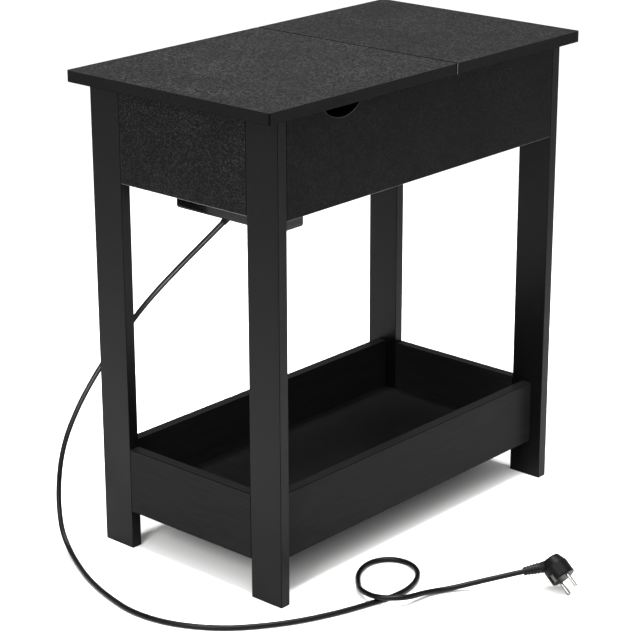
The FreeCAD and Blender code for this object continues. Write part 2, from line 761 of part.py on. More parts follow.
# Socket inserts with their earth clips
clips = []
for row, way in (("front", "-"), ("back", "+")):
    socket_y = f"0 {way} at.socket_y"
    rod_in(
        face,
        "Subtractive",
        ("at.unit_x", socket_y, "at.floor_top - dims.overrun"),
        "dims.socket_outer / 2 + dims.insert_clear",
        "dims.face_thick + 2 * dims.overrun",
    )
    insert = body(f"socket_{row}")
    rod_in(
        insert,
        "Additive",
        ("at.unit_x", socket_y, "at.socket_low"),
        "dims.socket_outer / 2",
        "at.face_top - at.socket_low",
    )
    rod_in(insert, "Additive", ("at.unit_x", socket_y, "at.face_top"), "dims.socket_rim / 2", "dims.socket_rim_thick")
    rod_in(
        insert,
        "Subtractive",
        ("at.unit_x", socket_y, "at.socket_seat"),
        "dims.socket_well / 2",
        "dims.socket_well_depth + dims.socket_rim_thick + dims.overrun",
    )
    for hole_way in ("-", "+"):
        rod_in(
            insert,
            "Subtractive",
            (f"at.unit_x {hole_way} dims.pin_pitch / 2", socket_y, "at.socket_low - dims.overrun"),
            "dims.socket_hole / 2",
            "dims.socket_base + 2 * dims.overrun",
        )
    clip_low = {
        "-": f"{socket_y} - dims.socket_well / 2 + dims.clip_inset",
        "+": f"{socket_y} + dims.socket_well / 2 - dims.clip_inset - dims.clip_thick",
    }
    for clip_way, low_y in clip_low.items():
        clip = doc.addObject("Part::Box", "earth_clip")
        bind(clip, Length="dims.clip_width", Width="dims.clip_thick", Height="dims.clip_height")
        put(clip, ("at.unit_x - dims.clip_width / 2", low_y, "at.socket_seat"))
        clips.append(clip)
group("earth_clips", clips)

# Charging port module between the sockets
box_in(
    face,
    "Subtractive",
    ("at.unit_x - dims.port_module_width / 2 - dims.insert_clear",
     "-dims.port_module_length / 2 - dims.insert_clear",
     "at.floor_top - dims.overrun"),
    ("dims.port_module_width + 2 * dims.insert_clear",
     "dims.port_module_length + 2 * dims.insert_clear",
     "dims.face_thick + 2 * dims.overrun"),
)
module = body("port_module")
box_in(
    module,
    "Additive",
    ("at.unit_x - dims.port_module_width / 2",
     "-dims.port_module_length / 2",
     "at.face_top - dims.port_module_depth"),
    ("dims.port_module_width", "dims.port_module_length", "dims.port_module_depth"),
)
box_in(
    module,
    "Additive",
    ("at.unit_x - dims.port_module_width / 2 - dims.port_rim_margin",
     "-dims.port_module_length / 2 - dims.port_rim_margin",
     "at.face_top"),
    ("dims.port_module_width + 2 * dims.port_rim_margin",
     "dims.port_module_length + 2 * dims.port_rim_margin",
     "dims.socket_rim_thick"),
)
tongues = []
for way in ("-", "+"):
    port_y = f"0 {way} dims.port_pitch / 2"
    box_in(
        module,
        "Subtractive",
        ("at.unit_x - dims.port_width / 2", f"{port_y} - dims.port_opening / 2", "at.port_floor"),
        ("dims.port_width", "dims.port_opening", "dims.port_depth + dims.overrun"),
    )
    tongue = doc.addObject("Part::Box", "port_tongue")
    bind(tongue, Length="dims.tongue_width", Width="dims.tongue_thick", Height="dims.tongue_height")
    put(tongue, ("at.unit_x - dims.tongue_width / 2", f"{port_y} - dims.tongue_thick / 2", "at.port_floor"))
    tongues.append(tongue)
group("port_tongues", tongues)

# Gland through the housing's underside
gland_at = ("at.gland_x", "dims.gland_back")
rod_in(
    housing,
    "Subtractive",
    (*gland_at, "at.unit_low - dims.overrun"),
    "dims.gland_neck / 2 + dims.gland_clear",
    "dims.unit_wall + 2 * dims.overrun",
)
gland_flange = rod(
    "gland_flange",
    (*gland_at, "at.unit_low + dims.unit_wall"),
    "dims.gland_diameter / 2",
    "dims.gland_flange_thick",
)
gland_neck = rod(
    "gland_neck",
    (*gland_at, "at.unit_low"),
    "dims.gland_neck / 2",
    "dims.unit_wall + dims.gland_flange_thick",
)
gland_boss = rod(
    "gland_boss",
    (*gland_at, "at.unit_low - dims.gland_boss"),
    "dims.gland_diameter / 2",
    "dims.gland_boss",
)
gland_ball = doc.addObject("Part::Sphere", "gland_ball")
bind(gland_ball, Radius="dims.gland_sleeve_diameter / 2")
put(gland_ball, (*gland_at, "at.unit_low - dims.gland_boss"))
heading = math.radians(GLAND_HEADING)
lean = math.radians(GLAND_LEAN)
gland_way = FreeCAD.Vector(
    math.sin(lean) * math.cos(heading), math.sin(lean) * math.sin(heading), -math.cos(lean)
)
gland_sleeve = cone(
    "gland_sleeve",
    (*gland_at, "at.unit_low - dims.gland_boss"),
    "dims.gland_sleeve_diameter / 2",
    "dims.gland_tip_diameter / 2",
    "dims.gland_length",
    FreeCAD.Rotation(FreeCAD.Vector(0, 0, 1), gland_way),
)
keep(fused("cord_gland", [gland_sleeve, gland_ball, gland_boss, gland_neck, gland_flange]), "cord_gland")


def tube(route, radius):
    """Round tube along straight runs joined by tangent arcs, and the radii of its bends."""
    points = [FreeCAD.Vector(*point) for point in route]
    edges = []
    radii = []
    start = points[0]
    for before, corner, after in zip(points, points[1:], points[2:]):
        back = before - corner
        ahead = after - corner
        turn = math.pi - back.getAngle(ahead)
        reach = BEND_SHARE * min(back.Length, ahead.Length)
        radii.append(reach / math.tan(turn / 2))
        back.normalize()
        ahead.normalize()
        enter = corner + back * reach
        leave = corner + ahead * reach
        inward = back + ahead
        inward.normalize()
        depth = radii[-1] / math.cos(turn / 2) - radii[-1]
        edges.append(Part.LineSegment(start, enter).toShape())
        edges.append(Part.Arc(enter, corner + inward * depth, leave).toShape())
        start = leave
    edges.append(Part.LineSegment(start, points[-1]).toShape())
    path = Part.Wire(edges)
    ring = Part.Wire([Part.Circle(points[0], points[1] - points[0], radius).toShape()])
    swept = path.makePipeShell([ring], True, False)
    return swept, path.Length, radii


# Cord
cord_shape, cord_length, cord_radii = tube(CORD_ROUTE, dims.cord_diameter / 2)
cord = doc.addObject("Part::Feature", "cord")
cord.Shape = cord_shape
keep(cord, "cord")
section = math.pi * dims.cord_diameter ** 2 / 4
print("cord length", round(cord_length, 1), "volume share", round(cord_shape.Volume / (section * cord_length), 4))
print("cord bend radii", [round(radius, 1) for radius in cord_radii])

# Plug, built with its pins along Z and its neck over X, then laid at the cord's end
tip = FreeCAD.Vector(*CORD_ROUTE[-1])
cord_way = FreeCAD.Vector(*CORD_ROUTE[-2]) - tip
cord_way.normalize()
across = FreeCAD.Vector(0, 0, 1).cross(cord_way)
across.normalize()
across = FreeCAD.Rotation(cord_way, PLUG_ROLL).multVec(across)
neck_run_share = math.cos(math.radians(NECK_LEAN))
neck_drop_share = math.sin(math.radians(NECK_LEAN))
pin_way = across * neck_run_share - cord_way * neck_drop_share
face_way = cord_way * neck_run_share + across * neck_drop_share
plug_turn = FreeCAD.Rotation(face_way, pin_way.cross(face_way), pin_way, "XZY")
plug_place = FreeCAD.Placement(
    tip - cord_way * (dims.plug_neck_reach + dims.relief_length) + pin_way * dims.plug_neck_drop, plug_turn
)
NECK_TURN = FreeCAD.Rotation(FreeCAD.Vector(0, 0, 1), FreeCAD.Vector(neck_run_share, 0, -neck_drop_share))


def along_neck(run):
    """Place on the neck's middle line at a run from its root."""
    return f"({run}) * {neck_run_share}", "0", f"-dims.plug_neck_drop - ({run}) * {neck_drop_share}"



plug_body = body("plug_body")
rod_in(plug_body, "Additive", ("0", "0", "dims.plug_front - dims.plug_rim_length"),
       "dims.plug_diameter / 2", "dims.plug_rim_length")
plug_back = cone_in(plug_body, "Additive", ("0", "0", "dims.plug_front - dims.plug_rim_length"),
                    "dims.plug_diameter / 2", "dims.plug_back_diameter / 2", "dims.plug_back_length", AGAINST_Z)
plug_ends = edges_where(plug_back, lambda edge: edge.BoundBox.ZLength < dims.overrun and (
    edge.BoundBox.ZMin > dims.plug_front - dims.overrun
    or edge.BoundBox.ZMax < dims.plug_front - dims.plug_rim_length - dims.overrun))
round_edges(plug_body, plug_back, plug_ends, "dims.plug_edge_round")
cone_in(plug_body, "Additive", along_neck("0"), "dims.plug_neck_diameter / 2",
        "dims.relief_diameter / 2", "dims.plug_neck_reach", NECK_TURN)

pin_line = FreeCAD.Vector(math.cos(math.radians(PIN_LINE_TURN)), math.sin(math.radians(PIN_LINE_TURN)), 0)
earth_line = FreeCAD.Vector(-pin_line.y, pin_line.x, 0)
line_turn = FreeCAD.Rotation(FreeCAD.Vector(0, 0, 1), PIN_LINE_TURN)
strips = []
pins = []
for side in (-1, 1):
    groove = box_in(plug_body, "Subtractive", ("0", "0", "0"),
                    ("dims.earth_groove_width", "dims.earth_groove_depth + dims.overrun",
                     "dims.earth_strip_length + dims.overrun"))
    groove_low = side * (dims.plug_diameter / 2 - dims.earth_groove_depth)
    groove_depth = dims.earth_groove_depth + dims.overrun
    groove_edge = groove_low if side > 0 else groove_low - groove_depth
    corner = earth_line * groove_edge - pin_line * (dims.earth_groove_width / 2)
    groove_foot = FreeCAD.Vector(corner.x, corner.y, dims.plug_front - dims.earth_strip_length)
    for axis in "xyz":
        groove.setExpression(f"Placement.Base.{axis}", None)
    groove.Placement = FreeCAD.Placement(groove_foot, line_turn)
    strip = doc.addObject("Part::Box", "earth_strip")
    bind(strip, Length="dims.earth_strip_width", Width="dims.earth_strip_thick", Height="dims.earth_strip_length")
    strip_edge = groove_low if side > 0 else groove_low - dims.earth_strip_thick
    foot = earth_line * strip_edge - pin_line * (dims.earth_strip_width / 2)
    strip.Placement = FreeCAD.Placement(FreeCAD.Vector(foot.x, foot.y, groove_foot.z), line_turn)
    strips.append(strip)
    pin = doc.addObject("Part::Cylinder", "plug_pin")
    bind(pin, Radius="dims.plug_pin_diameter / 2", Height="dims.plug_pin_length")
    pin_foot = pin_line * (side * dims.pin_pitch / 2)
    pin.Placement = FreeCAD.Placement(FreeCAD.Vector(pin_foot.x, pin_foot.y, dims.plug_front), ALONG_Z)
    doc.recompute()
    rounded = doc.addObject("Part::Fillet", "plug_pin_round")
    rounded.Base = pin
    rounded.Edges = [
        (n, dims.plug_pin_round, dims.plug_pin_round)
        for n, edge in enumerate(pin.Shape.Edges, start=1)
        if edge.BoundBox.ZMin > dims.plug_front + dims.plug_pin_length / 2
    ]
    pins.append(rounded)
plug_pins = group("plug_pins", pins)
plug_contacts = group("plug_contacts", strips)

relief_pieces = [
    cone("relief_cone", along_neck("dims.plug_neck_reach"), "dims.relief_diameter / 2",
         "dims.relief_tip_diameter / 2", "dims.relief_length", NECK_TURN)
]
for share in RIB_SHARES:
    taper = f"(dims.relief_diameter + (dims.relief_tip_diameter - dims.relief_diameter) * {share}) / 2"
    relief_pieces.append(
        rod("relief_rib",
            along_neck(f"dims.plug_neck_reach + dims.relief_length * {share} - dims.relief_rib_width / 2"),
            f"{taper} + dims.relief_rib_height", "dims.relief_rib_width", NECK_TURN)
    )
plug_relief = keep(fused("plug_relief", relief_pieces), "plug_relief")
for piece in (plug_body, plug_pins, plug_contacts, plug_relief):
    piece.Placement = plug_place

doc.recompute()

# Every object and every piece is sound before anything is written
for thing in doc.Objects:
    if "Invalid" in thing.State or "Error" in thing.State:
        raise RuntimeError(f"{thing.Label}: {thing.State}")
os.makedirs("parts", exist_ok=True)
for node in nodes:
    shape = node.Shape
    if shape.isNull() or not shape.isValid():
        raise RuntimeError(f"{node.Label}: shape is not sound")
    print(node.Label, len(shape.Solids), round(shape.Volume, 1))
for node in nodes:
    node.Shape.exportStep(os.path.join("parts", f"{node.Label}.step"))
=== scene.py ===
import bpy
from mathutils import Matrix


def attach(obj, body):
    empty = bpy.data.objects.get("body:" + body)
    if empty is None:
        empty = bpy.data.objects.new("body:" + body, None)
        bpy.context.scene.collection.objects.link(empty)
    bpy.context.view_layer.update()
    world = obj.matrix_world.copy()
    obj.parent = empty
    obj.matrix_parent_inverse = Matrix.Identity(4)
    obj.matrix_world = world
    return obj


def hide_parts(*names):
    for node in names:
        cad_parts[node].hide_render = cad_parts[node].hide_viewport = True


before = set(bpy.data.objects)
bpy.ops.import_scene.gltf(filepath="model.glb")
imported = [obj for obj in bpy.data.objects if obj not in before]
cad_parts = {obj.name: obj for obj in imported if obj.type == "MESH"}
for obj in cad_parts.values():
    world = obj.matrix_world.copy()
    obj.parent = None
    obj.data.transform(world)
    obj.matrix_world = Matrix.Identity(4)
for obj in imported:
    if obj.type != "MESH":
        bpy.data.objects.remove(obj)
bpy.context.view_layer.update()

import math

import bpy
from bpy.props import FloatProperty, FloatVectorProperty, PointerProperty
from bpy.types import Operator, Panel, PropertyGroup
from mathutils import Matrix, Vector

bl_info = {
    "name": "Lift top end table",
    "version": (1, 0, 0),
    "blender": (4, 5, 0),
    "location": "View3D > Sidebar > Table",
    "description": "Finishes, cord and stage of a lift top end table with a power unit",
    "category": "Object",
}

MM = 0.001

# Part of a normal along an axis, above which a rounded edge counts as turned that way
TURNED_PART = 0.2
# Part of a normal along an axis, above which a face counts as square to it
SQUARE_PART = 0.7
# Roughness of glue lines and of edges that take no polish
DULL_ROUGHNESS = 0.95
# Focal length of the camera in pixels of a picture of that width, and the width of its sensor in mm
FOCAL_PIXELS = 2147.0
PICTURE_PIXELS = 640
SENSOR_WIDTH = 36.0

# Collection of the objects that the low softbox reaches, and the only ones that shade it
LOW_REACH = "low_reach"

# Route of the mains cord in metres: from the gland, behind the back left leg, round the left side,
# through one loop in front of the legs and on to the plug
CORD_ROUTE = (
    (-0.16761, 0.03543, 0.43287),
    (-0.1777, 0.0578, 0.4065),
    (-0.1940, 0.0830, 0.3750),
    (-0.2130, 0.1150, 0.3340),
    (-0.2270, 0.1380, 0.3000),
    (-0.2400, 0.1580, 0.2650),
    (-0.2540, 0.1800, 0.2270),
    (-0.2760, 0.2000, 0.1750),
    (-0.2990, 0.2080, 0.1220),
    (-0.3160, 0.2010, 0.0680),
    (-0.3310, 0.1810, 0.0260),
    (-0.3440, 0.1510, 0.0080),
    (-0.3600, 0.1170, 0.0035),
    (-0.3800, 0.0750, 0.0035),
    (-0.3970, 0.0200, 0.0035),
    (-0.4060, -0.0330, 0.0035),
    (-0.3960, -0.0880, 0.0035),
    (-0.3670, -0.1380, 0.0035),
    (-0.3320, -0.1700, 0.0035),
    (-0.2890, -0.1980, 0.0035),
    (-0.2410, -0.2190, 0.0035),
    (-0.1980, -0.2320, 0.0035),
    (-0.1520, -0.2440, 0.0035),
    (-0.1160, -0.2390, 0.0035),
    (-0.0870, -0.2210, 0.0035),
    (-0.0750, -0.1940, 0.0035),
    (-0.0840, -0.1680, 0.0035),
    (-0.1100, -0.1560, 0.0035),
    (-0.1420, -0.1660, 0.0035),
    (-0.1660, -0.1870, 0.0040),
    (-0.1840, -0.2060, 0.0080),
    (-0.1920, -0.2380, 0.0117),
    (-0.1700, -0.2660, 0.0117),
    (-0.1300, -0.2680, 0.0060),
    (-0.1010, -0.2810, 0.0040),
    (-0.0660, -0.3120, 0.0134),
    (-0.0345, -0.3450, 0.0237),
)


def linear(code):
    """sRGB hex code as a linear colour with full alpha."""
    parts = [int(code[i:i + 2], 16) / 255 for i in (1, 3, 5)]
    return tuple(c / 12.92 if c <= 0.04045 else ((c + 0.055) / 1.055) ** 2.4 for c in parts) + (1.0,)


def colour(label, description, code):
    """Colour property with an sRGB hex default."""
    return FloatVectorProperty(
        name=label, description=description, subtype="COLOR", size=4, min=0.0, max=1.0, default=linear(code)
    )


class TableFinishes(PropertyGroup):
    board: colour("Board", "Ground colour of the embossed melamine on the top and aprons", "#050505")
    band: colour("Edge band", "Colour of the smooth band on the boards' narrow faces", "#0e0e0e")
    board_grain: colour("Board grain", "Colour of the raised grain in the melamine", "#282828")
    leg: colour("Leg foil", "Colour of the smooth foil on the legs", "#080808")
    tray: colour("Tray foil", "Colour of the smooth foil on the tray", "#161616")
    moulding: colour("Moulding", "Colour of the power unit's moulded shell", "#0c0c0c")
    jacket: colour("Cord jacket", "Colour of the cord's jacket", "#070707")
    plug: colour("Plug", "Colour of the plug's moulding", "#080808")
    grain_length: FloatProperty(
        name="Grain length", description="Length of one fleck of the embossed grain", unit="LENGTH",
        default=1.8 * MM, min=0.1 * MM
    )
    grain_width: FloatProperty(
        name="Grain width", description="Width of one fleck of the embossed grain", unit="LENGTH",
        default=1.5 * MM, min=0.1 * MM
    )


class TableCord(PropertyGroup):
    diameter: FloatProperty(
        name="Diameter", description="Outside diameter of the mains cord", unit="LENGTH",
        default=7 * MM, min=MM
    )


class TableStage(PropertyGroup):
    floor: colour("Floor", "Colour of the studio floor", "#f4f4f3")
    floor_size: FloatProperty(
        name="Floor size", description="Side of the square studio floor", unit="LENGTH", default=60.0, min=4.0
    )
    sky_strength: FloatProperty(
        name="Sky strength", description="Brightness of the even light from all round", default=0.45, min=0.0
    )
    key_strength: FloatProperty(
        name="Key strength", description="Brightness of the broad light from above", default=2.6, min=0.0
    )
    key_width: FloatProperty(
        name="Key width", description="Angle that the broad light fills", subtype="ANGLE",
        default=math.radians(70)
    )
    key_turn: FloatVectorProperty(
        name="Key turn", description="How the broad light leans", subtype="EULER", size=3,
        default=(math.radians(18), math.radians(-22), 0.0)
    )
    front_power: FloatProperty(
        name="Front power", description="Power of the softbox beside the camera", unit="POWER",
        default=60.0, min=0.0
    )
    front_size: FloatProperty(
        name="Front size", description="Side of the softbox beside the camera", unit="LENGTH",
        default=1.0, min=0.1
    )
    front_place: FloatVectorProperty(
        name="Front place", description="Where the softbox beside the camera stands", subtype="TRANSLATION",
        size=3, default=(-2.75, -0.85, 1.9)
    )
    front_aim: FloatVectorProperty(
        name="Front aim", description="What the softbox beside the camera points at", subtype="TRANSLATION",
        size=3, default=(0.0, -0.1, 0.25)
    )
    pool_power: FloatProperty(
        name="Pool power", description="Power of the gridded softbox over the table", unit="POWER",
        default=40.0, min=0.0
    )
    pool_size: FloatProperty(
        name="Pool size", description="Side of the gridded softbox", unit="LENGTH", default=1.2, min=0.1
    )
    pool_height: FloatProperty(
        name="Pool height", description="Height of the gridded softbox", unit="LENGTH", default=1.9, min=0.7
    )
    pool_spread: FloatProperty(
        name="Pool spread", description="Angle that the grid lets through", subtype="ANGLE",
        default=math.radians(100)
    )
    low_power: FloatProperty(
        name="Low power", description="Power of the low softbox for the cord", unit="POWER",
        default=1.3, min=0.0
    )
    low_size: FloatProperty(
        name="Low size", description="Side of the low softbox", unit="LENGTH", default=0.26, min=0.05
    )
    low_spread: FloatProperty(
        name="Low spread", description="Angle that the low softbox's grid lets through", subtype="ANGLE",
        default=math.radians(60)
    )
    low_place: FloatVectorProperty(
        name="Low place", description="Where the low softbox stands", subtype="TRANSLATION",
        size=3, default=(-0.67, -0.01, 0.17)
    )
    low_aim: FloatVectorProperty(
        name="Low aim", description="What the low softbox points at", subtype="TRANSLATION",
        size=3, default=(-0.21, 0.11, 0.33)
    )
    camera_place: FloatVectorProperty(
        name="Camera place", description="Where the camera stands", subtype="TRANSLATION", size=3,
        default=(-2.013453, -1.761639, 1.207393)
    )
    camera_azimuth: FloatProperty(
        name="Camera azimuth", description="Direction in plan from the table to the camera", subtype="ANGLE",
        default=math.radians(-138.449)
    )
    camera_elevation: FloatProperty(
        name="Camera elevation", description="How far the camera looks down", subtype="ANGLE",
        default=math.radians(19.363)
    )
    camera_roll: FloatProperty(
        name="Camera roll", description="Turn of the camera about its own view", subtype="ANGLE",
        default=math.radians(-0.125)
    )
    camera_lens: FloatProperty(
        name="Camera lens", description="Focal length on a 36 mm sensor", min=1.0,
        default=FOCAL_PIXELS * SENSOR_WIDTH / PICTURE_PIXELS
    )


def add(tree, kind, inputs=None, **settings):
    """Add a node with its settings, and set or link its inputs."""
    made = tree.nodes.new(kind)
    for name, value in settings.items():
        setattr(made, name, value)
    for socket, value in (inputs or {}).items():
        if isinstance(value, bpy.types.NodeSocket):
            tree.links.new(value, made.inputs[socket])
        else:
            made.inputs[socket].default_value = value
    return made


def blank(name):
    """New material with its tree and its main shader."""
    material = bpy.data.materials.new(name)
    material.use_nodes = True
    tree = material.node_tree
    return material, tree, tree.nodes["Principled BSDF"]


def link(tree, source, target):
    """Join two sockets of one tree."""
    tree.links.new(source, target)


def wear_face(names, material):
    """Give the named CAD nodes one material."""
    for name in names:
        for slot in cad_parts[name].material_slots:
            slot.material = material


def rounded_edge(tree, place, start=0.99, full=0.94):
    """How far a point lies on a rounded edge rather than on one of a board's six faces, from 0 to 1.
    It starts and is full where the largest part of the normal falls to the two values given."""
    facing = add(tree, "ShaderNodeVectorMath", {0: place.outputs["Normal"]}, operation="ABSOLUTE")
    sides = add(tree, "ShaderNodeSeparateXYZ", {"Vector": facing.outputs["Vector"]})
    level = add(tree, "ShaderNodeMath", {0: sides.outputs["X"], 1: sides.outputs["Y"]}, operation="MAXIMUM")
    most = add(tree, "ShaderNodeMath", {0: level.outputs[0], 1: sides.outputs["Z"]}, operation="MAXIMUM")
    edge = add(tree, "ShaderNodeMapRange", {"Value": most.outputs[0], "From Min": start, "From Max": full})
    return edge.outputs["Result"]


def embossed_melamine(name, wide, along, coarse, contrast, gloss, seam, corner, wear_and_highlight, finishes):
    """Melamine paper pressed on chipboard with a fleck texture: dull black with small bright flecks on the
    wide faces and a smoother edge band on the narrow ones. The rounded edges between a wide face and the top
    or bottom take a paler edge colour, partly wear and partly a painted highlight; on a board of the top only
    the upward edges take it. Down the upright corners runs a line in the corner colour: the edge band's dark
    glue line, and where that colour is pale a painted highlight. On a board of the top, seam says which end
    meets the other board, 1 or -1: that end's edges and the lower ones are painted near black, a painted
    shade. The flecks are about 0.8 mm on the real board and drawn coarser so that they show."""
    material, tree, shader = blank(name)
    place = add(tree, "ShaderNodeTexCoord")
    scale = [1 / (coarse * finishes.grain_width)] * 3
    scale["XYZ".index(along)] = 1 / (coarse * finishes.grain_length)
    grain_place = add(tree, "ShaderNodeMapping", {"Vector": place.outputs["Object"], "Scale": scale})
    fleck = add(tree, "ShaderNodeTexVoronoi", {"Vector": grain_place.outputs["Vector"], "Scale": 1.0})
    broad = add(tree, "ShaderNodeTexNoise", {
        "Vector": place.outputs["Object"], "Scale": 1 / (70 * MM), "Detail": 2.0})
    face = add(tree, "ShaderNodeSeparateXYZ", {"Vector": place.outputs["Normal"]})
    flat = add(tree, "ShaderNodeMath", {0: face.outputs[wide]}, operation="ABSOLUTE")
    wide_face = add(tree, "ShaderNodeMath", {0: flat.outputs[0], 1: SQUARE_PART}, operation="GREATER_THAN")
    height = add(tree, "ShaderNodeSeparateColor", {"Color": fleck.outputs["Color"]})
    peak = add(tree, "ShaderNodeMapRange", {
        "Value": height.outputs["Red"], "From Min": 0.4, "From Max": 1.0})
    patch = add(tree, "ShaderNodeMapRange", {
        "Value": broad.outputs["Fac"], "From Min": 0.35, "From Max": 0.65,
        "To Min": 0.7 * contrast, "To Max": contrast})
    strewn = add(tree, "ShaderNodeMath", {
        0: peak.outputs["Result"], 1: patch.outputs["Result"]}, operation="MULTIPLY")
    share = add(tree, "ShaderNodeMath", {
        0: strewn.outputs[0], 1: wide_face.outputs[0]}, operation="MULTIPLY")
    grain = add(tree, "ShaderNodeMix", {
        "Factor": share.outputs[0], 6: finishes.board, 7: finishes.board_grain}, data_type="RGBA")
    cloud = add(tree, "ShaderNodeMapRange", {
        "Value": broad.outputs["Fac"], "From Min": 0.3, "From Max": 0.7, "To Min": 0.9, "To Max": 1.1})
    paper = add(tree, "ShaderNodeMix", {
        "Factor": wide_face.outputs[0], 6: finishes.band, 7: grain.outputs[2]}, data_type="RGBA")
    shade = add(tree, "ShaderNodeVectorMath", {
        0: paper.outputs[2], "Scale": cloud.outputs["Result"]}, operation="SCALE")
    edge = rounded_edge(tree, place)
    # Edges between a wide face and the top or bottom take the paler edge colour: partly wear, partly a
    # painted highlight, so on a top board only the upward ones
    rise = face.outputs["Z"]
    if not seam:
        rise = add(tree, "ShaderNodeMath", {0: face.outputs["Z"]}, operation="ABSOLUTE").outputs[0]
    level = add(tree, "ShaderNodeMath", {0: rise, 1: TURNED_PART}, operation="GREATER_THAN")
    bordering = add(tree, "ShaderNodeMath", {0: flat.outputs[0], 1: TURNED_PART}, operation="GREATER_THAN")
    open_edge = add(tree, "ShaderNodeMath", {
        0: level.outputs[0], 1: bordering.outputs[0]}, operation="MULTIPLY")
    wear_and_highlight_mask = add(tree, "ShaderNodeMath", {0: edge, 1: open_edge.outputs[0]}, operation="MULTIPLY")
    wear_and_highlight_tone = add(tree, "ShaderNodeMix", {
        "Factor": wear_and_highlight_mask.outputs[0], 6: shade.outputs["Vector"], 7: linear(wear_and_highlight)}, data_type="RGBA")
    # Painted shade: on a top board the edges facing the seam and the downward edges are painted near black
    parting = add(tree, "ShaderNodeMath", {0: face.outputs["X"], 1: seam}, operation="MULTIPLY")
    meeting = add(tree, "ShaderNodeMath", {0: parting.outputs[0], 1: TURNED_PART}, operation="GREATER_THAN")
    under = add(tree, "ShaderNodeMath", {0: rise, 1: -TURNED_PART}, operation="LESS_THAN")
    painted_shade_edges = add(tree, "ShaderNodeMath", {0: meeting.outputs[0], 1: under.outputs[0]}, operation="MAXIMUM")
    painted_shade = add(tree, "ShaderNodeMath", {0: edge, 1: painted_shade_edges.outputs[0]}, operation="MULTIPLY")
    dark = add(tree, "ShaderNodeMix", {
        "Factor": painted_shade.outputs[0], 6: wear_and_highlight_tone.outputs[2], 7: linear("#020202")}, data_type="RGBA")
    # Down the upright corners the corner colour: the edge band's dark glue line, and a painted highlight
    # where the colour is pale
    upright = add(tree, "ShaderNodeMath", {0: face.outputs["Z"], 1: 0.0, 2: TURNED_PART}, operation="COMPARE")
    joint_and_highlight = add(tree, "ShaderNodeMath", {
        0: rounded_edge(tree, place, start=0.93, full=0.88), 1: upright.outputs[0]}, operation="MULTIPLY")
    tone = add(tree, "ShaderNodeMix", {
        "Factor": joint_and_highlight.outputs[0], 6: dark.outputs[2], 7: linear(corner)}, data_type="RGBA")
    sheen = add(tree, "ShaderNodeMapRange", {
        "Value": share.outputs[0], "To Min": 0.44, "To Max": 0.36})
    dull = add(tree, "ShaderNodeMath", {0: painted_shade.outputs[0], 1: joint_and_highlight.outputs[0]}, operation="MAXIMUM")
    rough = add(tree, "ShaderNodeMix", {
        "Factor": dull.outputs[0], 2: sheen.outputs["Result"], 3: DULL_ROUGHNESS})
    relief = add(tree, "ShaderNodeBump", {
        "Strength": 0.4, "Distance": 0.2 * MM, "Height": share.outputs[0]})
    link(tree, tone.outputs[2], shader.inputs["Base Color"])
    link(tree, rough.outputs[0], shader.inputs["Roughness"])
    link(tree, relief.outputs["Normal"], shader.inputs["Normal"])
    shader.inputs["IOR"].default_value = 1.46
    shader.inputs["Specular IOR Level"].default_value = gloss
    return material


def satin_foil(name, tone, along, gloss):
    """Smooth black finish foil on the legs and the tray: an even satin that mirrors the room softly, with
    faint long streaks from the calender rolls and a dull dark glue line where edge band meets face."""
    material, tree, shader = blank(name)
    place = add(tree, "ShaderNodeTexCoord")
    scale = [1 / (2.4 * MM)] * 3
    scale["XYZ".index(along)] = 1 / (45 * MM)
    streak_place = add(tree, "ShaderNodeMapping", {"Vector": place.outputs["Object"], "Scale": scale})
    streak = add(tree, "ShaderNodeTexNoise", {
        "Vector": streak_place.outputs["Vector"], "Scale": 1.0, "Detail": 3.0})
    pore = add(tree, "ShaderNodeTexNoise", {
        "Vector": place.outputs["Object"], "Scale": 1 / (1.4 * MM), "Detail": 2.0})
    cloud = add(tree, "ShaderNodeMapRange", {
        "Value": streak.outputs["Fac"], "From Min": 0.3, "From Max": 0.7, "To Min": 0.8, "To Max": 1.2})
    shade = add(tree, "ShaderNodeVectorMath", {
        0: tone[:3], "Scale": cloud.outputs["Result"]}, operation="SCALE")
    sheen = add(tree, "ShaderNodeMapRange", {
        "Value": streak.outputs["Fac"], "From Min": 0.3, "From Max": 0.7, "To Min": 0.3, "To Max": 0.4})
    edge = rounded_edge(tree, place)
    glued = add(tree, "ShaderNodeMix", {
        "Factor": edge, 6: shade.outputs["Vector"], 7: linear("#030303")}, data_type="RGBA")
    rough = add(tree, "ShaderNodeMix", {"Factor": edge, 2: sheen.outputs["Result"], 3: DULL_ROUGHNESS})
    relief = add(tree, "ShaderNodeBump", {
        "Strength": 0.15, "Distance": 0.08 * MM, "Height": pore.outputs["Fac"]})
    link(tree, glued.outputs[2], shader.inputs["Base Color"])
    link(tree, rough.outputs[0], shader.inputs["Roughness"])
    link(tree, relief.outputs["Normal"], shader.inputs["Normal"])
    shader.inputs["IOR"].default_value = 1.48
    shader.inputs["Specular IOR Level"].default_value = gloss
    return material


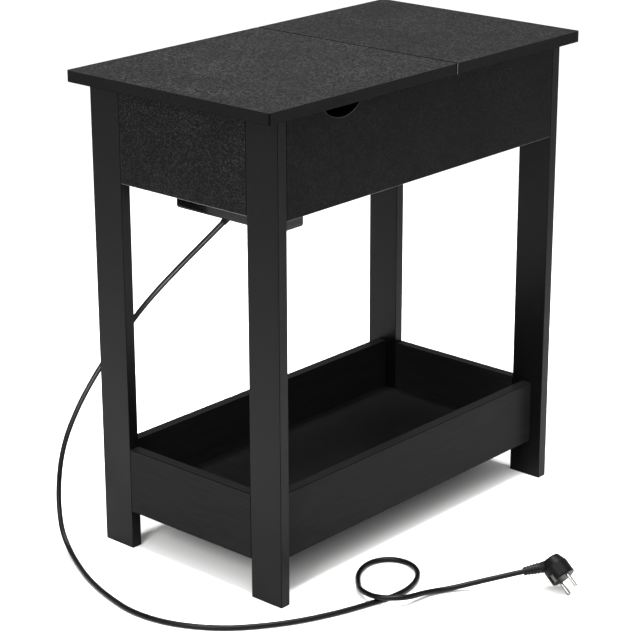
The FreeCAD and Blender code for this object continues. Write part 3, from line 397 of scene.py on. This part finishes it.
def moulded_plastic(name, tone, roughness, grit, strength, index=1.53, dull_rim=False):
    """Injection moulded thermoplastic with a spark-eroded skin: an even tone broken by a fine dimpling, drawn
    a little coarser than the real texture so that it shows, and on a box a rim that takes no polish."""
    material, tree, shader = blank(name)
    place = add(tree, "ShaderNodeTexCoord")
    dimple = add(tree, "ShaderNodeTexNoise", {
        "Vector": place.outputs["Object"], "Scale": 1 / grit, "Detail": 2.0})
    flow = add(tree, "ShaderNodeTexNoise", {
        "Vector": place.outputs["Object"], "Scale": 1 / (18 * MM), "Detail": 2.0})
    cloud = add(tree, "ShaderNodeMapRange", {
        "Value": flow.outputs["Fac"], "From Min": 0.3, "From Max": 0.7, "To Min": 0.92, "To Max": 1.08})
    shade = add(tree, "ShaderNodeVectorMath", {
        0: tone[:3], "Scale": cloud.outputs["Result"]}, operation="SCALE")
    rough = add(tree, "ShaderNodeMapRange", {
        "Value": flow.outputs["Fac"], "From Min": 0.3, "From Max": 0.7,
        "To Min": roughness - 0.04, "To Max": roughness + 0.04})
    skin = rough.outputs["Result"]
    if dull_rim:
        rim = rounded_edge(tree, place)
        skin = add(tree, "ShaderNodeMix", {"Factor": rim, 2: skin, 3: DULL_ROUGHNESS}).outputs[0]
    relief = add(tree, "ShaderNodeBump", {
        "Strength": strength, "Distance": 0.05 * MM, "Height": dimple.outputs["Fac"]})
    link(tree, shade.outputs["Vector"], shader.inputs["Base Color"])
    link(tree, skin, shader.inputs["Roughness"])
    link(tree, relief.outputs["Normal"], shader.inputs["Normal"])
    shader.inputs["IOR"].default_value = index
    return material


def rolled_metal(name, tone, roughness, along):
    """Plated sheet or wire drawn one way: bright metal whose gloss is stretched by fine draw lines."""
    material, tree, shader = blank(name)
    place = add(tree, "ShaderNodeTexCoord")
    scale = [1 / (0.5 * MM)] * 3
    scale["XYZ".index(along)] = 1 / (14 * MM)
    line_place = add(tree, "ShaderNodeMapping", {"Vector": place.outputs["Object"], "Scale": scale})
    lines = add(tree, "ShaderNodeTexNoise", {
        "Vector": line_place.outputs["Vector"], "Scale": 1.0, "Detail": 3.0})
    cloud = add(tree, "ShaderNodeMapRange", {
        "Value": lines.outputs["Fac"], "From Min": 0.3, "From Max": 0.7, "To Min": 0.88, "To Max": 1.06})
    shade = add(tree, "ShaderNodeVectorMath", {
        0: tone[:3], "Scale": cloud.outputs["Result"]}, operation="SCALE")
    rough = add(tree, "ShaderNodeMapRange", {
        "Value": lines.outputs["Fac"], "From Min": 0.3, "From Max": 0.7,
        "To Min": roughness - 0.06, "To Max": roughness + 0.08})
    link(tree, shade.outputs["Vector"], shader.inputs["Base Color"])
    link(tree, rough.outputs["Result"], shader.inputs["Roughness"])
    shader.inputs["Metallic"].default_value = 1.0
    return material


def turned_beech(name):
    """Bare beech dowel: pale pinkish wood with short darker rays along the grain."""
    material, tree, shader = blank(name)
    place = add(tree, "ShaderNodeTexCoord")
    fleck_place = add(tree, "ShaderNodeMapping", {
        "Vector": place.outputs["Object"], "Scale": (1 / (3 * MM), 1 / (3 * MM), 1 / (0.7 * MM))})
    fleck = add(tree, "ShaderNodeTexNoise", {
        "Vector": fleck_place.outputs["Vector"], "Scale": 1.0, "Detail": 4.0})
    tone = add(tree, "ShaderNodeMix", {
        "Factor": fleck.outputs["Fac"], 6: linear("#d9b48a"), 7: linear("#b98d5f")}, data_type="RGBA")
    link(tree, tone.outputs[2], shader.inputs["Base Color"])
    relief = add(tree, "ShaderNodeBump", {
        "Strength": 0.2, "Distance": 0.05 * MM, "Height": fleck.outputs["Fac"]})
    link(tree, relief.outputs["Normal"], shader.inputs["Normal"])
    shader.inputs["Roughness"].default_value = 0.6
    return material


def softbox(context, name, power, size, place, aim=(0.0, 0.0, 0.0), spread=math.pi):
    """Add a square softbox at a place, pointed at the aim, whose grid lets light out within the spread."""
    panel = bpy.data.lights.new(name, "AREA")
    panel.energy = power
    panel.shape = "SQUARE"
    panel.size = size
    panel.spread = spread
    box = bpy.data.objects.new(name, panel)
    box.location = place
    box.rotation_euler = (Vector(aim) - box.location).to_track_quat("-Z", "Y").to_euler()
    context.collection.objects.link(box)
    return box


class TABLE_OT_boards(Operator):
    """Finish the top, the legs, the aprons, the tray and the floors"""
    bl_idname = "table.boards"
    bl_label = "Boards"

    def execute(self, context):
        finishes = context.scene.table_finishes
        dark = "#020202"
        # Each board's paler edge colour is partly wear, partly a painted highlight along its edges
        wear_face(("lid",), embossed_melamine(
            "melamine_lid", wide="Z", along="X", coarse=1.25, contrast=0.62, gloss=0.04, seam=1.0,
            corner=dark, wear_and_highlight="#1a1a1a", finishes=finishes))
        # The fixed top's pale corner colour is a painted highlight
        wear_face(("fixed_top", "compartment_floor"), embossed_melamine(
            "melamine_top", wide="Z", along="X", coarse=1.25, contrast=0.46, gloss=0.04, seam=-1.0,
            corner="#5a5a5a", wear_and_highlight="#1a1a1a", finishes=finishes))
        wear_face(("apron_front", "apron_back"), embossed_melamine(
            "melamine_apron", wide="Y", along="X", coarse=1.0, contrast=0.3, gloss=0.046, seam=0.0,
            corner=dark, wear_and_highlight="#5a5a5a", finishes=finishes))
        wear_face(("apron_left", "apron_right", "seam_rail"), embossed_melamine(
            "melamine_side", wide="X", along="Y", coarse=1.0, contrast=0.75, gloss=0.06, seam=0.0,
            corner=dark, wear_and_highlight="#6a6a6a", finishes=finishes))
        wear_face(("leg_front_left", "leg_front_right", "leg_back_left", "leg_back_right"),
                  satin_foil("foil_leg", finishes.leg, along="Z", gloss=0.085))
        wear_face(("tray_front", "tray_back"), satin_foil("foil_tray", finishes.tray, along="X", gloss=0.02))
        wear_face(("tray_left", "tray_right", "tray_floor"),
                  satin_foil("foil_tray_side", finishes.tray, along="Y", gloss=0.02))
        return {"FINISHED"}


class TABLE_OT_fittings(Operator):
    """Finish the hinges, the screws, the corner blocks and the dowels"""
    bl_idname = "table.fittings"
    bl_label = "Fittings"

    def execute(self, context):
        hinge = rolled_metal("zinc_hinge", linear("#8b8c8e"), roughness=0.34, along="X")
        wear_face([f"hinge_{end}_{piece}" for end in ("left", "right")
                   for piece in ("fixed_leaf", "lid_leaf", "pin")], hinge)
        screws = rolled_metal("zinc_screw", linear("#9a9996"), roughness=0.3, along="Z")
        wear_face(("hinge_fixed_screws", "hinge_lid_screws", "block_screws", "power_screws"), screws)
        wear_face(("top_blocks",), moulded_plastic(
            "nylon_block", linear("#1d1d1d"), roughness=0.5, grit=0.9 * MM, strength=0.2))
        wear_face(("frame_dowels", "tray_dowels"), turned_beech("beech_dowel"))
        return {"FINISHED"}


class TABLE_OT_power_unit(Operator):
    """Finish the power unit under the lid"""
    bl_idname = "table.power_unit"
    bl_label = "Power unit"

    def execute(self, context):
        finishes = context.scene.table_finishes
        wear_face(("power_housing",), moulded_plastic(
            "abs_housing", finishes.moulding, roughness=0.14, grit=0.9 * MM, strength=0.03, index=1.29,
            dull_rim=True))
        wear_face(("power_face",), moulded_plastic(
            "abs_face", finishes.moulding, roughness=0.4, grit=0.8 * MM, strength=0.2, index=1.38))
        wear_face(("socket_front", "socket_back", "port_module"), moulded_plastic(
            "polycarbonate_insert", linear("#131313"), roughness=0.3, grit=0.8 * MM, strength=0.1))
        wear_face(("earth_clips",), rolled_metal("brass_clip", linear("#c9a45c"), roughness=0.3, along="Z"))
        wear_face(("port_tongues",), moulded_plastic(
            "white_tongue", linear("#e4e2da"), roughness=0.4, grit=0.8 * MM, strength=0.05))
        wear_face(("cord_gland",), moulded_plastic(
            "rubber_gland", linear("#080808"), roughness=0.55, grit=0.9 * MM, strength=0.2, index=1.2))
        return {"FINISHED"}


class TABLE_OT_cord(Operator):
    """Lay the mains cord and finish its plug"""
    bl_idname = "table.cord"
    bl_label = "Cord and plug"

    def execute(self, context):
        finishes = context.scene.table_finishes
        diameter = context.scene.table_cord.diameter
        line = bpy.data.curves.new("mains_cord", "CURVE")
        line.dimensions = "3D"
        spline = line.splines.new("NURBS")
        spline.points.add(len(CORD_ROUTE) - 1)
        for point, place in zip(spline.points, CORD_ROUTE):
            point.co = (*place, 1.0)
        spline.order_u = 3
        spline.use_endpoint_u = True
        spline.resolution_u = 12
        line.bevel_depth = diameter / 2
        line.bevel_resolution = 6
        line.use_fill_caps = True
        jacket = moulded_plastic(
            "pvc_jacket", finishes.jacket, roughness=0.3, grit=1.6 * MM, strength=0.08, index=1.2)
        line.materials.append(jacket)
        cord = bpy.data.objects.new("mains_cord", line)
        context.collection.objects.link(cord)
        reach = bpy.data.collections.get(LOW_REACH)
        if reach:
            reach.objects.link(cord)
        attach(cord, "table")
        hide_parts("cord")
        wear_face(("plug_relief",), jacket)
        wear_face(("plug_body",), moulded_plastic(
            "pvc_plug", finishes.plug, roughness=0.42, grit=1.2 * MM, strength=0.06, index=1.16))
        wear_face(("plug_pins",), rolled_metal("nickel_pin", linear("#82817e"), roughness=0.16, along="Z"))
        wear_face(("plug_contacts",),
                  rolled_metal("nickel_strip", linear("#4c4b49"), roughness=0.34, along="Z"))
        return {"FINISHED"}


class TABLE_OT_stage(Operator):
    """Set up the floor, the lights and the camera"""
    bl_idname = "table.stage"
    bl_label = "Stage"

    def execute(self, context):
        stage = context.scene.table_stage
        context.scene.view_settings.view_transform = "Standard"
        half = stage.floor_size / 2
        ground = bpy.data.meshes.new("studio_floor")
        corners = [(-half, -half, 0), (half, -half, 0), (half, half, 0), (-half, half, 0)]
        ground.from_pydata(corners, [], [(0, 1, 2, 3)])
        floor = bpy.data.objects.new("studio_floor", ground)
        context.collection.objects.link(floor)
        paper, _, shader = blank("studio_paper")
        shader.inputs["Base Color"].default_value = stage.floor
        shader.inputs["Roughness"].default_value = 0.9
        shader.inputs["Specular IOR Level"].default_value = 0.1
        ground.materials.append(paper)

        sky = bpy.data.worlds.new("studio_sky")
        sky.use_nodes = True
        backing = sky.node_tree.nodes["Background"]
        backing.inputs["Color"].default_value = (1.0, 1.0, 1.0, 1.0)
        backing.inputs["Strength"].default_value = stage.sky_strength
        context.scene.world = sky

        key = bpy.data.lights.new("broad_key", "SUN")
        key.energy = stage.key_strength
        key.angle = stage.key_width
        lamp = bpy.data.objects.new("broad_key", key)
        lamp.rotation_euler = stage.key_turn
        context.collection.objects.link(lamp)

        softbox(context, "front_softbox", stage.front_power, stage.front_size, stage.front_place,
                aim=stage.front_aim)
        softbox(context, "pool_softbox", stage.pool_power, stage.pool_size, (0.0, 0.0, stage.pool_height),
                spread=stage.pool_spread)
        low = softbox(context, "low_softbox", stage.low_power, stage.low_size, stage.low_place,
                        aim=stage.low_aim, spread=stage.low_spread)
        reach = bpy.data.collections.new(LOW_REACH)
        low.light_linking.receiver_collection = reach
        low.light_linking.blocker_collection = reach

        azimuth = stage.camera_azimuth
        elevation = stage.camera_elevation
        ahead = -Vector((math.cos(elevation) * math.cos(azimuth), math.cos(elevation) * math.sin(azimuth),
                         math.sin(elevation)))
        right = ahead.cross(Vector((0, 0, 1))).normalized()
        up = right.cross(ahead)
        roll = stage.camera_roll
        across = math.cos(roll) * right + math.sin(roll) * up
        upright = -math.sin(roll) * right + math.cos(roll) * up
        lens = bpy.data.cameras.new("camera")
        lens.sensor_width = SENSOR_WIDTH
        lens.lens = stage.camera_lens
        lens.clip_end = 200.0
        camera = bpy.data.objects.new("camera", lens)
        turn = Matrix((across, upright, -ahead)).transposed().to_4x4()
        camera.matrix_world = Matrix.Translation(stage.camera_place) @ turn
        context.collection.objects.link(camera)
        context.scene.camera = camera
        return {"FINISHED"}


class TABLE_PT_pieces(Panel):
    """Pieces of the table"""
    bl_idname = "TABLE_PT_pieces"
    bl_label = "Lift top end table"
    bl_space_type = "VIEW_3D"
    bl_region_type = "UI"
    bl_category = "Table"

    def draw(self, context):
        for piece in PIECES:
            self.layout.operator(piece.bl_idname)


PIECES = (TABLE_OT_stage, TABLE_OT_cord, TABLE_OT_boards, TABLE_OT_fittings, TABLE_OT_power_unit)
SETTINGS = {"table_finishes": TableFinishes, "table_cord": TableCord, "table_stage": TableStage}


def register():
    for name, group in SETTINGS.items():
        bpy.utils.register_class(group)
        setattr(bpy.types.Scene, name, PointerProperty(type=group))
    for piece in PIECES:
        bpy.utils.register_class(piece)
    bpy.utils.register_class(TABLE_PT_pieces)


def unregister():
    bpy.utils.unregister_class(TABLE_PT_pieces)
    for piece in reversed(PIECES):
        bpy.utils.unregister_class(piece)
    for name, group in SETTINGS.items():
        delattr(bpy.types.Scene, name)
        bpy.utils.unregister_class(group)


def main():
    register()
    bpy.ops.table.stage()
    bpy.ops.table.cord()
    bpy.ops.table.boards()
    bpy.ops.table.fittings()
    bpy.ops.table.power_unit()
    bpy.context.view_layer.update()


if __name__ == "__main__":
    main()
